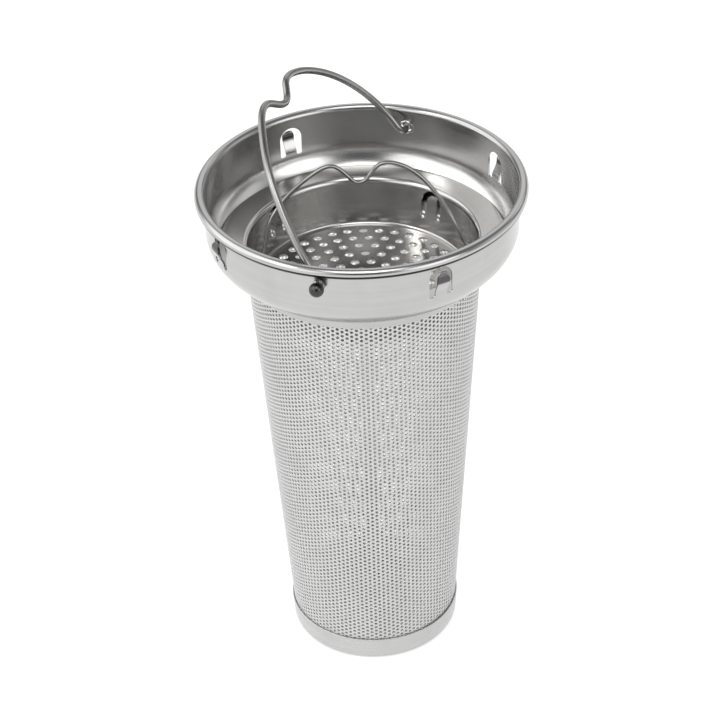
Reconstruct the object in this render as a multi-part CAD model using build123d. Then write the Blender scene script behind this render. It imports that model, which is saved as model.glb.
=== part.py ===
from build123d import *
import math
import os

# A deep two-stage basket: a rolled-rim collar over a tapered tube with a perforated bottom cap,
# a shallow perforated inner basket in the collar, and a wire bail on each of the two baskets.
# Millimetres and degrees. The origin is the centre of the flat base; +Z is up through the open
# top, +X is right and +Y is back. Names ending in _Z are levels measured from the rim's crown,
# negative downwards; azimuths (_AZ) are measured from +X.

os.makedirs("parts", exist_ok=True)

# ---------------------------------------------------------------- shared sizes
TOP = 152.4            # height of the rim's crown above the base
SHEET = 0.5            # collar, tube and inner basket sheet
LAP = 0.02             # gap between lapped walls
DIAGONAL = math.sqrt(0.5)   # cosine of 45 degrees, for the middles of quarter bends

# ---------------------------------------------------------------- collar sizes
RIM_R = 46.0           # outside radius of the rolled rim
ROLL_R = 1.475         # outside radius of the rim's curl
ROLL_MID = 30          # angle of a point part-way round the curl
ROLL_END = -115        # angle where the curl ends; it starts at 180
WALL_RO = 43.55        # wall, outside
WALL_RI = WALL_RO - SHEET
WALL_END_Z = -12.4     # where the wall starts to turn into the shoulder
SHOULDER = [(WALL_RO, WALL_END_Z), (WALL_RO, -16.4), (40.4, -20.4), (34.5, -23.0)]
#                      Bezier control points of the shoulder's outside: radius, level
SHOULDER_STEPS = 16
NECK_INSIDE_Z = -23.55                # top of the neck band on its inside
NECK_TOP_Z, NECK_END_Z = -23.9, -26.2   # neck band that laps over the tube
GROOVE_Z, GROOVE_D = -4.8, 0.1        # V groove round the wall: level and depth
GROOVE_HALF_W, GROOVE_REACH = 0.45, 0.3   # cutter's half width, and its reach beyond the wall

# ---------------------------------------------------------------- tube and bottom cap sizes
TUBE_R_NECK = 33.0     # tube outside radius at the neck band's lower edge
TUBE_SLOPE = 0.0681    # tube radius lost per mm of depth
TUBE_TOP_Z, TUBE_END_Z = -23.75, -150.5
CAP_T = 0.45           # cap sheet
CAP_TOP_Z = -144.8
CAP_CORNER = 1.6       # outside radius of the cap's corner
CAP_PITCH, CAP_HOLE = 1.5, 0.9    # perforation pitch and hole diameter
CAP_FIELD_R = 21.6     # radius that holds every perforation
CAP_DISC_R = CAP_FIELD_R + 0.2    # perforated disc let into the cap

# ---------------------------------------------------------------- lanced tabs
TAB_COUNT = 4
SLOT_W, SLOT_BAND, SLOT_H = 6.9, 1.7, 8.3   # inverted-U slot: overall width, band, height
RELIEF_D, RELIEF_RISE = 1.9, 0.1   # round relief at each foot of the slot
TONGUE_ROOT = 0.7      # how far the tongue's strip runs down into the wall
TONGUE_SINK = 0.6      # how far its trimming shape runs down
TONGUE_STEPS = 10
TONGUE_MARGIN = 1.0    # extra strip each side before trimming, degrees
BULGE_PEAK = 0.72      # share of the height where a bulged tongue stands out furthest
BULGE_RETURN = 0.42    # share of the bulge lost again at the free end
COLLAR_TAB_AZ, COLLAR_TAB_Z = 117.6, -12.2   # first tab, bottom of the slots
COLLAR_TAB_OUT = 1.6   # how far each collar tongue bulges out
CUP_TAB_AZ, CUP_TAB_Z = 50.7, -27.2
CUP_TAB_OUT = 0.85     # how far each basket tongue's free end stands out

# ---------------------------------------------------------------- inner basket sizes
FLANGE_R = 40.05
FLANGE_Z = -17.75      # top of the flat flange
FLANGE_BEND_R = 33.4   # where the flange turns down
BEND_RI = 1.45         # bend from flange to wall, inside radius
BEND_RO = BEND_RI + SHEET
BEND_FULLNESS = 0.98   # radial share of the true arc at the bend's middle
CUP_RI_TOP, CUP_RI_BOT = 31.95, 30.65   # wall inside radius, top and bottom
FLOOR_Z = -32.0        # top of the floor
CUP_CORNER = 1.0       # inside radius of the floor's corner
CUP_WALL_TOP = TOP + FLANGE_Z - BEND_RO        # heights above the base
CUP_WALL_BOT = TOP + FLOOR_Z + CUP_CORNER
CUP_SLOPE = (CUP_RI_TOP - CUP_RI_BOT) / (CUP_WALL_TOP - CUP_WALL_BOT)
FLOOR_HOLE = 2.7
# rings of floor holes: radius, count, first azimuth
FLOOR_RINGS = [(26.6, 36, 89.6), (22.7, 31, 97.2), (18.6, 25, 93.7), (14.2, 19, 87.8),
               (9.7, 13, 77.5), (5.2, 7, 99.0), (0.0, 1, 0.0)]

# ---------------------------------------------------------------- outer bail sizes
# Along-axis distances run from the axis's middle, positive at the end nearest its azimuth.
# Each bend is (start along the axis, bend radius, bend angle).
# Each arch is the wire centreline: (along the axis, away from it), positive end first.
PIVOT_AZ, PIVOT_Z = 72.8, -6.3
PIVOT_OFFSET = 1.0     # how far the axis passes to the right of the centre
PIVOT_HOLE = 3.2
EYELET_D, EYELET_H = 4.3, 0.40    # disc round each pivot hole, standing in from the wall
EYELET_ROOT = 0.2      # how far that disc runs into the wall
BAIL_D = 2.0           # wire
BAIL_BALL = 4.0
BAIL_BALL_ALONG = 45.75   # ball centre
BAIL_LEAN = 37.6       # from upright, towards the left
BAIL_BACK = (41.6, 2.2, 82)
BAIL_FRONT = (43.15, 1.7, 88)
BAIL_ARCH = [
    (39.4, 5.35), (39, 8.73), (38.26, 12.03), (37.19, 15.22), (35.82, 18.3), (34.17, 21.25),
    (32.26, 24.05), (30.11, 26.7), (27.75, 29.17), (25.2, 31.45), (22.48, 33.53),
    (19.62, 35.39), (16.61, 37), (13.46, 38.29), (10.19, 39.13), (6.99, 38.82), (4.02, 36.94),
    (0.97, 35.66), (-2.17, 36.38), (-5.09, 38.44), (-8.13, 39.91), (-11.38, 39.79),
    (-14.55, 38.6), (-17.57, 36.85), (-20.44, 34.93), (-23.17, 32.95), (-25.74, 30.83),
    (-28.17, 28.5), (-30.44, 25.97), (-32.56, 23.28), (-34.51, 20.45), (-36.31, 17.52),
    (-37.93, 14.5), (-39.39, 11.43), (-40.65, 8.33), (-41.47, 5.12)]

# ---------------------------------------------------------------- inner bail sizes
IN_PIVOT_AZ, IN_PIVOT_Z = 13.6, -26.15
IN_HOLE = 1.8
IN_BAIL_D = 1.2
IN_END_ALONG = 32.2    # where each wire end stops
IN_LEAN = 21.0         # from upright, towards the back
IN_RIGHT = (30.7, 1.2, 68)
IN_LEFT = (30.65, 1.2, 78)
IN_ARCH = [
    (28.64, 3.46), (27.67, 6.1), (26.65, 8.68), (25.55, 11.21), (24.32, 13.7), (22.94, 16.15),
    (21.37, 18.57), (19.61, 20.87), (17.64, 22.94), (15.45, 24.7), (13.03, 26.04),
    (10.4, 26.85), (7.74, 26.71), (5.43, 25.01), (3.2, 23.01), (0.81, 22.7), (-1.26, 24.45),
    (-3.25, 26.68), (-5.45, 28.17), (-8.04, 28.2), (-10.81, 27.16), (-13.47, 25.75),
    (-15.9, 24.26), (-18.15, 22.67), (-20.25, 20.93), (-22.24, 18.99), (-24.08, 16.83),
    (-25.57, 14.43), (-26.53, 11.79), (-27.3, 9.08), (-28.23, 6.42), (-29.07, 3.74)]


# ---------------------------------------------------------------- shared helpers
def height(level):
    """Height above the base of a level measured from the rim's crown."""
    return TOP + level


def tube_ro(level):
    """Tube outside radius at a level."""
    return TUBE_R_NECK + (level - NECK_END_Z) * TUBE_SLOPE


def cup_ri(level):
    """Inside radius of the inner basket's wall at a level."""
    return CUP_RI_TOP - (CUP_WALL_TOP - height(level)) * CUP_SLOPE


def turned(edges, angle=360):
    """Turn a closed profile of (radius, height) edges about the vertical axis."""
    return revolve(Plane.XZ * make_face(edges), Axis.Z, angle)


def polygon(points):
    """Closed loop of straight edges."""
    return [Line(start, end) for start, end in zip(points, points[1:] + points[:1])]


def axis_plane(azimuth, along, level, offset=0.0):
    """Plane square to a horizontal axis, at a distance along it, facing away from its middle.
    Local x runs level and local y runs up; offset moves the axis sideways."""
    angle = math.radians(azimuth)
    ax, ay = math.cos(angle), math.sin(angle)
    sign = 1 if along > 0 else -1
    return Plane(origin=(offset * ay + along * ax, -offset * ax + along * ay, height(level)),
                 x_dir=(-ay * sign, ax * sign, 0), z_dir=(ax * sign, ay * sign, 0))


# ---------------------------------------------------------------- lanced tabs
def round_top(width, tall, sink=0.0):
    """Round-topped upright shape standing on local y = 0, or sunk below it."""
    radius = width / 2
    body = Pos(0, (tall - radius - sink) / 2) * Rectangle(width, tall - radius + sink)
    return body + Pos(0, tall - radius) * Circle(radius)


def stand_off(share, out, bulged):
    """How far a tongue stands out at a share of its height: a bulge whose free end turns
    back in, or a plain lean."""
    if not bulged:
        return out * share * share
    if share < BULGE_PEAK:
        return out * math.sin(math.pi / 2 * share / BULGE_PEAK) ** 2
    return out * (1 - BULGE_RETURN * ((share - BULGE_PEAK) / (1 - BULGE_PEAK)) ** 2)


def lance(shell, azimuth, wall_ri, bottom, out, slope=0.0, bulged=False):
    """Cut one inverted-U slot through a wall and put back its tongue, bent outwards."""
    tongue_h = SLOT_H - SLOT_BAND
    foot_x = (SLOT_W - SLOT_BAND) / 2
    plane = axis_plane(azimuth, wall_ri + SHEET / 2, bottom)
    reliefs = [Pos(sign * foot_x, RELIEF_RISE) * Circle(RELIEF_D / 2) for sign in (-1, 1)]
    opening = round_top(SLOT_W, SLOT_H) + reliefs
    shell = shell - extrude(plane * opening, 3.0, both=True)

    # A strip of the same wall, bent to the tongue's profile, then trimmed to its outline
    inner = []
    for i in range(TONGUE_STEPS + 1):
        rise = tongue_h * i / TONGUE_STEPS
        radius = wall_ri + slope * rise + stand_off(rise / tongue_h, out, bulged)
        inner.append((radius, height(bottom) + rise))
    outer = [(x + SHEET, y) for x, y in inner]
    root_in = (wall_ri - slope * TONGUE_ROOT, height(bottom) - TONGUE_ROOT)
    root_out = (root_in[0] + SHEET, root_in[1])
    half_angle = math.degrees((SLOT_W / 2 - SLOT_BAND) / wall_ri) + TONGUE_MARGIN
    strip = turned([
        Line(root_in, inner[0]),
        Spline(*inner),
        Line(inner[-1], outer[-1]),
        Spline(*outer[::-1]),
        Line(outer[0], root_out),
        Line(root_out, root_in),
    ], 2 * half_angle)
    strip = Rot(0, 0, azimuth - half_angle) * strip
    outline = round_top(SLOT_W - 2 * SLOT_BAND, tongue_h, sink=TONGUE_SINK)
    return shell + (strip & extrude(plane * outline, 4.0, both=True))


# ---------------------------------------------------------------- collar
def bezier(controls, steps):
    """Points along a cubic Bezier curve."""
    points = []
    for i in range(steps + 1):
        t = i / steps
        weights = ((1 - t) ** 3, 3 * t * (1 - t) ** 2, 3 * t * t * (1 - t), t ** 3)
        points.append(tuple(sum(weight * control[k] for weight, control in zip(weights, controls))
                            for k in (0, 1)))
    return points


def offset_right(points, amount):
    """Shift every point of an open path to the right of its direction of travel."""
    shifted = []
    for i, (x, y) in enumerate(points):
        x0, y0 = points[max(i - 1, 0)]
        x1, y1 = points[min(i + 1, len(points) - 1)]
        dx, dy = x1 - x0, y1 - y0
        length = math.hypot(dx, dy)
        shifted.append((x + dy / length * amount, y - dx / length * amount))
    return shifted


def on_roll(radius, degrees):
    """Point on the rim's curl."""
    angle = math.radians(degrees)
    return (RIM_R - ROLL_R + radius * math.cos(angle), height(-ROLL_R) + radius * math.sin(angle))


def make_collar():
    """Rolled rim, wall, shoulder and neck band, with a groove, four tabs and two pivot holes."""
    roll_ri = ROLL_R - SHEET
    outside = bezier([(r, height(level)) for r, level in SHOULDER], SHOULDER_STEPS)
    inside = [(WALL_RI, height(WALL_END_Z)), *offset_right(outside, SHEET)[1:]]
    neck_in_top, neck_top, neck_end = [
        (tube_ro(level) + LAP, height(level)) for level in (NECK_INSIDE_Z, NECK_TOP_Z, NECK_END_Z)]
    neck_out_top = (neck_top[0] + SHEET, neck_top[1])
    neck_out_end = (neck_end[0] + SHEET, neck_end[1])
    collar = turned([
        ThreePointArc(on_roll(roll_ri, 180), on_roll(roll_ri, ROLL_MID),
                      on_roll(roll_ri, ROLL_END)),
        Line(on_roll(roll_ri, ROLL_END), on_roll(ROLL_R, ROLL_END)),
        ThreePointArc(on_roll(ROLL_R, ROLL_END), on_roll(ROLL_R, ROLL_MID), on_roll(ROLL_R, 180)),
        Line(on_roll(ROLL_R, 180), inside[0]),
        Spline(*inside),
        Line(inside[-1], neck_in_top),
        Line(neck_in_top, neck_end),
        Line(neck_end, neck_out_end),
        Line(neck_out_end, neck_out_top),
        Line(neck_out_top, outside[-1]),
        Spline(*outside[::-1]),
        Line(outside[0], on_roll(roll_ri, 180)),
    ])
    collar = collar - turned(polygon([
        (WALL_RO - GROOVE_D, height(GROOVE_Z)),
        (WALL_RO + GROOVE_REACH, height(GROOVE_Z - GROOVE_HALF_W)),
        (WALL_RO + GROOVE_REACH, height(GROOVE_Z + GROOVE_HALF_W))]))
    for k in range(TAB_COUNT):
        collar = lance(collar, COLLAR_TAB_AZ + 360 / TAB_COUNT * k, WALL_RI, COLLAR_TAB_Z,
                       COLLAR_TAB_OUT, bulged=True)
    for sign in (1, -1):
        plane = axis_plane(PIVOT_AZ, sign * (WALL_RI - EYELET_H), PIVOT_Z, PIVOT_OFFSET)
        collar = collar + extrude(plane * Circle(EYELET_D / 2), EYELET_H + EYELET_ROOT)
    for sign in (1, -1):
        plane = axis_plane(PIVOT_AZ, sign * WALL_RI, PIVOT_Z, PIVOT_OFFSET)
        collar = collar - extrude(plane * Circle(PIVOT_HOLE / 2), 4, both=True)
    return collar


# ---------------------------------------------------------------- tapered tube
def make_tube():
    """Plain tapered wall, open at both ends."""
    top_r, end_r = tube_ro(TUBE_TOP_Z), tube_ro(TUBE_END_Z)
    top, end = height(TUBE_TOP_Z), height(TUBE_END_Z)
    return turned(polygon([(top_r - SHEET, top), (top_r, top), (end_r, end), (end_r - SHEET, end)]))


# ---------------------------------------------------------------- bottom cap
def perforated_disc():
    """Disc with a triangular grid of holes."""
    row_pitch = CAP_PITCH * math.sqrt(3) / 2
    reach = int(CAP_FIELD_R / row_pitch) + 2
    holes = []
    for row in range(-reach, reach + 1):
        for column in range(-reach, reach + 1):
            x = (column + 0.5 * (row % 2)) * CAP_PITCH
            y = row * row_pitch + row_pitch * 2 / 3
            if math.hypot(x, y) < CAP_FIELD_R - CAP_HOLE / 2:
                holes.append(Wire((Pos(x, y) * Circle(CAP_HOLE / 2)).edge()))
    return extrude(Face(Wire(Circle(CAP_DISC_R).edge()), holes), CAP_T)


def make_bottom_cap():
    """Shallow cup that laps over the tube's lower end, with a perforated floor."""
    top_r, top = tube_ro(CAP_TOP_Z) + LAP, height(CAP_TOP_Z)
    corner_ri = CAP_CORNER - CAP_T
    corner_x = tube_ro(-TOP + CAP_CORNER) + LAP + CAP_T - CAP_CORNER

    def corner(radius):
        """Quarter bend's wall end, middle and floor end."""
        return [(corner_x + radius, CAP_CORNER),
                (corner_x + radius * DIAGONAL, CAP_CORNER - radius * DIAGONAL),
                (corner_x, CAP_CORNER - radius)]

    outer = corner(CAP_CORNER)
    inner = corner(corner_ri)
    cap = turned([
        Line((top_r, top), (top_r + CAP_T, top)),
        Line((top_r + CAP_T, top), outer[0]),
        ThreePointArc(*outer),
        Line(outer[-1], (0, 0)),
        Line((0, 0), (0, CAP_T)),
        Line((0, CAP_T), inner[-1]),
        ThreePointArc(*inner[::-1]),
        Line(inner[0], (top_r, top)),
    ])
    cap = cap - Pos(0, 0, -1) * Cylinder(CAP_DISC_R, 4)
    return cap + perforated_disc()


# ---------------------------------------------------------------- inner basket
def make_inner_basket():
    """Flanged shallow cup with a drilled floor, four tabs and two pivot holes."""
    flange_top = height(FLANGE_Z)
    flange_under = flange_top - SHEET
    floor_top = height(FLOOR_Z)
    floor_under = floor_top - SHEET
    edge_r = SHEET / 2      # rounded edge of the flange
    edge_x = FLANGE_R - edge_r
    corner_x = CUP_RI_BOT - CUP_CORNER
    corner_ro = CUP_CORNER + SHEET

    def corner_mid(radius):
        return (corner_x + radius * DIAGONAL, CUP_WALL_BOT - radius * DIAGONAL)

    def bend_mid(radius):
        return (FLANGE_BEND_R - radius * DIAGONAL * BEND_FULLNESS, CUP_WALL_TOP + radius * DIAGONAL)

    wall_in_top, wall_in_bot = (CUP_RI_TOP, CUP_WALL_TOP), (CUP_RI_BOT, CUP_WALL_BOT)
    wall_out_top = (CUP_RI_TOP + SHEET, CUP_WALL_TOP)
    wall_out_bot = (CUP_RI_BOT + SHEET, CUP_WALL_BOT)
    basket = turned([
        Line((0, floor_top), (corner_x, floor_top)),
        ThreePointArc((corner_x, floor_top), corner_mid(CUP_CORNER), wall_in_bot),
        Line(wall_in_bot, wall_in_top),
        Spline(wall_in_top, bend_mid(BEND_RO), (FLANGE_BEND_R, flange_top),
               tangents=[(CUP_SLOPE, 1), (1, 0)]),
        Line((FLANGE_BEND_R, flange_top), (edge_x, flange_top)),
        ThreePointArc((edge_x, flange_top), (FLANGE_R, flange_top - edge_r),
                      (edge_x, flange_under)),
        Line((edge_x, flange_under), (FLANGE_BEND_R, flange_under)),
        Spline((FLANGE_BEND_R, flange_under), bend_mid(BEND_RI), wall_out_top,
               tangents=[(-1, 0), (-CUP_SLOPE, -1)]),
        Line(wall_out_top, wall_out_bot),
        ThreePointArc(wall_out_bot, corner_mid(corner_ro), (corner_x, floor_under)),
        Line((corner_x, floor_under), (0, floor_under)),
        Line((0, floor_under), (0, floor_top)),
    ])
    drills = []
    for ring_r, count, first in FLOOR_RINGS:
        for k in range(count):
            angle = math.radians(first + 360.0 * k / count)
            place = Pos(ring_r * math.cos(angle), ring_r * math.sin(angle))
            drills.append(place * Circle(FLOOR_HOLE / 2))
    basket = basket - extrude(Plane.XY.offset(floor_top - 2) * Sketch(children=drills), 4)
    for k in range(TAB_COUNT):
        basket = lance(basket, CUP_TAB_AZ + 360 / TAB_COUNT * k, cup_ri(CUP_TAB_Z), CUP_TAB_Z,
                       CUP_TAB_OUT, CUP_SLOPE)
    for azimuth in (IN_PIVOT_AZ, IN_PIVOT_AZ + 180):
        plane = axis_plane(azimuth, cup_ri(IN_PIVOT_Z), IN_PIVOT_Z)
        basket = basket - extrude(plane * Circle(IN_HOLE / 2), 3, both=True)
    return basket


# ---------------------------------------------------------------- bails
def arc_edge(start, tangent, end):
    """The arc that leaves start along a unit tangent and ends at end, or a line if straight."""
    chord = end - start
    length = chord.length
    turn = tangent.cross(chord).Z
    if abs(turn) < 1e-4 * length:
        return Line(start, end)
    rise = math.tan(math.asin(max(-1, min(1, turn / length))) / 2) * length / 2
    across = Vector(chord.Y, -chord.X) * (1 / length)
    return ThreePointArc(start, (start + end) * 0.5 + across * rise, end)


def arc_run(points, first_dir, last_dir):
    """Wire centreline through points: two arcs per span, each tangent to the next."""
    dirs = [first_dir]
    for previous, point, following in zip(points, points[1:], points[2:]):
        before, after = point - previous, following - point
        blend = before.normalized() * after.length + after.normalized() * before.length
        dirs.append(blend.normalized())
    dirs.append(last_dir)
    edges = []
    for start, end, dir0, dir1 in zip(points, points[1:], dirs, dirs[1:]):
        # Equal tangent lengths at both ends of the span put the joint midway between their tips
        chord = end - start
        along = chord.dot(dir0 + dir1)
        far = chord.dot(chord)
        bent = 2 * (1 - dir0.dot(dir1))
        if bent < 1e-9:
            reach = far / (2 * along)
        else:
            reach = (-along + math.sqrt(along * along + bent * far)) / bent
        tip0, tip1 = start + dir0 * reach, end - dir1 * reach
        joint = (tip0 + tip1) * 0.5
        edges.append(arc_edge(start, dir0, joint))
        edges.append(arc_edge(joint, (tip1 - tip0).normalized(), end))
    return edges


def bail_end(sign, end_along, bend):
    """Straight end and bend at one side, with the bend's last point and its angle."""
    start_along, radius, turn = bend

    def on_bend(degrees):
        angle = math.radians(degrees)
        return Vector(sign * (start_along - radius * math.sin(angle)),
                      radius * (1 - math.cos(angle)))

    edges = [Line((sign * end_along, 0), on_bend(0)),
             ThreePointArc(on_bend(0), on_bend(turn / 2), on_bend(turn))]
    return edges, on_bend(turn), math.radians(turn)


def bail(azimuth, level, lean, wire_d, end_along, plus_bend, minus_bend, arch,
         offset=0.0, ball_d=0.0):
    """Round wire bent to an arch with a V notch at its top; each end turns out along the
    pivot axis, with or without a ball. The wire leans about that axis."""
    angle, tilt = math.radians(azimuth), math.radians(lean)
    axis = Vector(math.cos(angle), math.sin(angle), 0)
    side = Vector(-math.sin(angle), math.cos(angle), 0)
    up = Vector(0, 0, 1) * math.cos(tilt) + side * math.sin(tilt)
    middle = Vector(offset * math.sin(angle), -offset * math.cos(angle), height(level))
    plane = Plane(origin=middle, x_dir=axis, z_dir=axis.cross(up))

    plus_edges, plus_point, plus_turn = bail_end(1, end_along, plus_bend)
    minus_edges, minus_point, minus_turn = bail_end(-1, end_along, minus_bend)
    run = arc_run([plus_point, *(Vector(x, y) for x, y in arch), minus_point],
                  Vector(-math.cos(plus_turn), math.sin(plus_turn)),
                  Vector(-math.cos(minus_turn), -math.sin(minus_turn)))
    path = plane * Wire(plus_edges + run + minus_edges[::-1])
    section = Plane(origin=middle + axis * end_along, z_dir=axis * -1) * Circle(wire_d / 2)
    solid = sweep(section, path)
    if ball_d:
        for sign in (1, -1):
            solid = solid + Pos(*(middle + axis * (sign * end_along))) * Sphere(ball_d / 2)
    return solid


def make_outer_bail():
    return bail(PIVOT_AZ, PIVOT_Z, BAIL_LEAN, BAIL_D, BAIL_BALL_ALONG,
                plus_bend=BAIL_BACK, minus_bend=BAIL_FRONT, arch=BAIL_ARCH,
                offset=PIVOT_OFFSET, ball_d=BAIL_BALL)


def make_inner_bail():
    return bail(IN_PIVOT_AZ, IN_PIVOT_Z, IN_LEAN, IN_BAIL_D, IN_END_ALONG,
                plus_bend=IN_RIGHT, minus_bend=IN_LEFT, arch=IN_ARCH)


# ---------------------------------------------------------------- export
for node, make in {
    "collar": make_collar,
    "mesh_tube": make_tube,
    "bottom_cap": make_bottom_cap,
    "outer_bail": make_outer_bail,
    "inner_basket": make_inner_basket,
    "inner_bail": make_inner_bail,
}.items():
    export_step(make(), f"parts/{node}.step")
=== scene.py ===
"""Sink strainer of stainless steel: a collar with a rolled rim on a long perforated tube with a
perforated cap, a small basket hung inside it, and a wire bail handle on each.
The axis is +Z through the origin and the cap rests on z = 0. Sizes are millimetres and azimuths
are degrees from +X towards +Y. A "level" is measured up from the rim's crown, so it is negative.
The camera looks from -Y, which is the front."""
import bmesh
import bpy
import math
import numpy as np
from mathutils import Matrix, Vector
from mathutils.geometry import delaunay_2d_cdt


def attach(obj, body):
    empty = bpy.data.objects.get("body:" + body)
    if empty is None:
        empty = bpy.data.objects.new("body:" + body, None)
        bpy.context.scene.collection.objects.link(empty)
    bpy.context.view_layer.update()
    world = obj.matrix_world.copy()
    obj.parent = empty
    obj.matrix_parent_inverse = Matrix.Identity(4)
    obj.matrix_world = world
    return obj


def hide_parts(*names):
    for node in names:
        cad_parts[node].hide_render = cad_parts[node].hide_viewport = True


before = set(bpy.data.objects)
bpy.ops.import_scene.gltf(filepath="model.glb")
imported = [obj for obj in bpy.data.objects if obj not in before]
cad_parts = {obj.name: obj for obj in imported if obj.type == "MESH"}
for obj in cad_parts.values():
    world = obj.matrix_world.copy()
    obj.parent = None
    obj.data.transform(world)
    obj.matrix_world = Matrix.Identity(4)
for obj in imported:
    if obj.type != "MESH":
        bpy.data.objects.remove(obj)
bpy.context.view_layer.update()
MM = 0.001

# ------------------------------------------------------------------ dimensions
TOP = 152.4                         # height of the rim's crown
SHEET = 0.5
RIM_R, ROLL_R = 46.0, 1.475         # outside of the rim, outside of its curl's section
WALL_RI = RIM_R - 2 * ROLL_R        # the curl turns back onto the wall
WALL_RO = WALL_RI + SHEET
WALL_END = -12.4                    # the shoulder starts here
GROOVE_Z, GROOVE_DEPTH, GROOVE_HALF = -4.8, 0.1, 0.45
NECK_Z0, NECK_Z1 = -23.9, -26.2
LAP = 0.02                          # gap between the tube and what is fitted over it

TUBE_R_NECK, TUBE_SLOPE = 33.0, 0.0681      # radius at NECK_Z1, growth of radius with level
TUBE_Z0, TUBE_Z1 = -23.75, -150.5
COL_GAP, ROW_GAP, FINE_HOLE = 1.31, 1.43, 0.92

CAP_T, CAP_Z0, CAP_Z1, CAP_CORNER = 0.45, -144.8, -TOP, 1.6
CAP_PITCH, CAP_HOLE, CAP_FIELD_R = 1.5, 0.9, 21.6
CAP_PLATE_R = CAP_FIELD_R + 0.75

PIVOT_AZ, PIVOT_OFF, PIVOT_Z, PIVOT_HOLE = 72.8, 1.0, -6.3, 3.2
EYELET_OD, EYELET_H = 4.3, 0.40

# lanced slots of the collar and the basket: an arch-shaped cut leaves a tongue in its middle
SLOT_W, SLOT_BAND, SLOT_H, SLOT_RELIEF = 6.9, 1.7, 8.3, 1.9
COLLAR_TAB_AZ, COLLAR_TAB_Z, COLLAR_TAB_OUT = 117.6, -12.2, 1.6
CUP_TAB_AZ, CUP_TAB_Z, CUP_TAB_OUT = 50.7, -27.2, 0.85

FLANGE_R, FLANGE_Z = 40.05, -17.75
FLANGE_EDGE_R = SHEET / 2
BEND_R, BEND_UNDER_R = 33.4, 1.45   # centre and underside radius of the flange's bend
CUP_RI_TOP, CUP_RI_BOT, FLOOR_Z, CUP_CORNER = 31.95, 30.65, -32.0, 1.0
FLOOR_PLATE_R, FLOOR_HOLE = 29.0, 2.7
IN_AZ, IN_PIVOT_Z, IN_HOLE = 13.6, -26.15, 1.8

# rings of holes in the basket's floor: radius, number of holes, azimuth of the first
FLOOR_RINGS = [(26.6, 36, 89.6), (22.7, 31, 97.2), (18.6, 25, 93.7), (14.2, 19, 87.8),
               (9.7, 13, 77.5), (5.2, 7, 99.0), (0.0, 1, 0.0)]

# bails; each end is (bend start along the pivot axis, bend radius, bend angle)
BAIL_D, BAIL_HEAD_D, BAIL_END, BAIL_LEAN = 2.0, 4.0, 45.75, 37.6
BAIL_BACK, BAIL_FRONT = (41.6, 2.2, 82), (43.15, 1.7, 88)
IN_BAIL_D, IN_BAIL_END, IN_BAIL_LEAN = 1.2, 32.2, 21.0
IN_BAIL_RIGHT, IN_BAIL_LEFT = (30.7, 1.2, 68), (30.65, 1.2, 78)

# centre lines of the arches: along the pivot axis, away from it in the bail's plane
BAIL_ARCH = [
    (39.4, 5.35), (39, 8.73), (38.26, 12.03), (37.19, 15.22), (35.82, 18.3), (34.17, 21.25),
    (32.26, 24.05), (30.11, 26.7), (27.75, 29.17), (25.2, 31.45), (22.48, 33.53), (19.62, 35.39),
    (16.61, 37), (13.46, 38.29), (10.19, 39.13), (6.99, 38.82), (4.02, 36.94), (0.97, 35.66),
    (-2.17, 36.38), (-5.09, 38.44), (-8.13, 39.91), (-11.38, 39.79), (-14.55, 38.6),
    (-17.57, 36.85), (-20.44, 34.93), (-23.17, 32.95), (-25.74, 30.83), (-28.17, 28.5),
    (-30.44, 25.97), (-32.56, 23.28), (-34.51, 20.45), (-36.31, 17.52), (-37.93, 14.5),
    (-39.39, 11.43), (-40.65, 8.33), (-41.47, 5.12)]
IN_BAIL_ARCH = [
    (28.64, 3.46), (27.67, 6.1), (26.65, 8.68), (25.55, 11.21), (24.32, 13.7), (22.94, 16.15),
    (21.37, 18.57), (19.61, 20.87), (17.64, 22.94), (15.45, 24.7), (13.03, 26.04), (10.4, 26.85),
    (7.74, 26.71), (5.43, 25.01), (3.2, 23.01), (0.81, 22.7), (-1.26, 24.45), (-3.25, 26.68),
    (-5.45, 28.17), (-8.04, 28.2), (-10.81, 27.16), (-13.47, 25.75), (-15.9, 24.26),
    (-18.15, 22.67), (-20.25, 20.93), (-22.24, 18.99), (-24.08, 16.83), (-25.57, 14.43),
    (-26.53, 11.79), (-27.3, 9.08), (-28.23, 6.42), (-29.07, 3.74)]


def height(level):
    return TOP + level


def tube_radius(level):
    """Outer radius of the tube."""
    return TUBE_R_NECK + (level - NECK_Z1) * TUBE_SLOPE


def directions(azimuth):
    """Unit vectors outwards along an azimuth and round the axis from it."""
    a = math.radians(azimuth)
    outward = np.array([math.cos(a), math.sin(a), 0])
    around = np.array([-math.sin(a), math.cos(a), 0])
    return outward, around


# ------------------------------------------------------------------ mesh helpers
def make_object(name, points, faces, smooth=True):
    """Object from points in millimetres; faces is a list of index lists or an (n, k) array."""
    mesh = bpy.data.meshes.new(name)
    points = np.asarray(points, float) * MM
    if isinstance(faces, np.ndarray):
        count, sides = faces.shape
        mesh.vertices.add(len(points))
        mesh.vertices.foreach_set("co", points.astype(np.float32).ravel())
        mesh.loops.add(count * sides)
        mesh.loops.foreach_set("vertex_index", faces.astype(np.int32).ravel())
        mesh.polygons.add(count)
        starts = np.arange(0, count * sides, sides, dtype=np.int32)
        mesh.polygons.foreach_set("loop_start", starts)
        mesh.polygons.foreach_set("loop_total", np.full(count, sides, np.int32))
    else:
        mesh.from_pydata(points.tolist(), [], faces)
    mesh.update(calc_edges=True)
    mesh.validate()
    mesh.polygons.foreach_set("use_smooth", [smooth] * len(mesh.polygons))
    ob = bpy.data.objects.new(name, mesh)
    bpy.context.scene.collection.objects.link(ob)
    return ob


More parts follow.
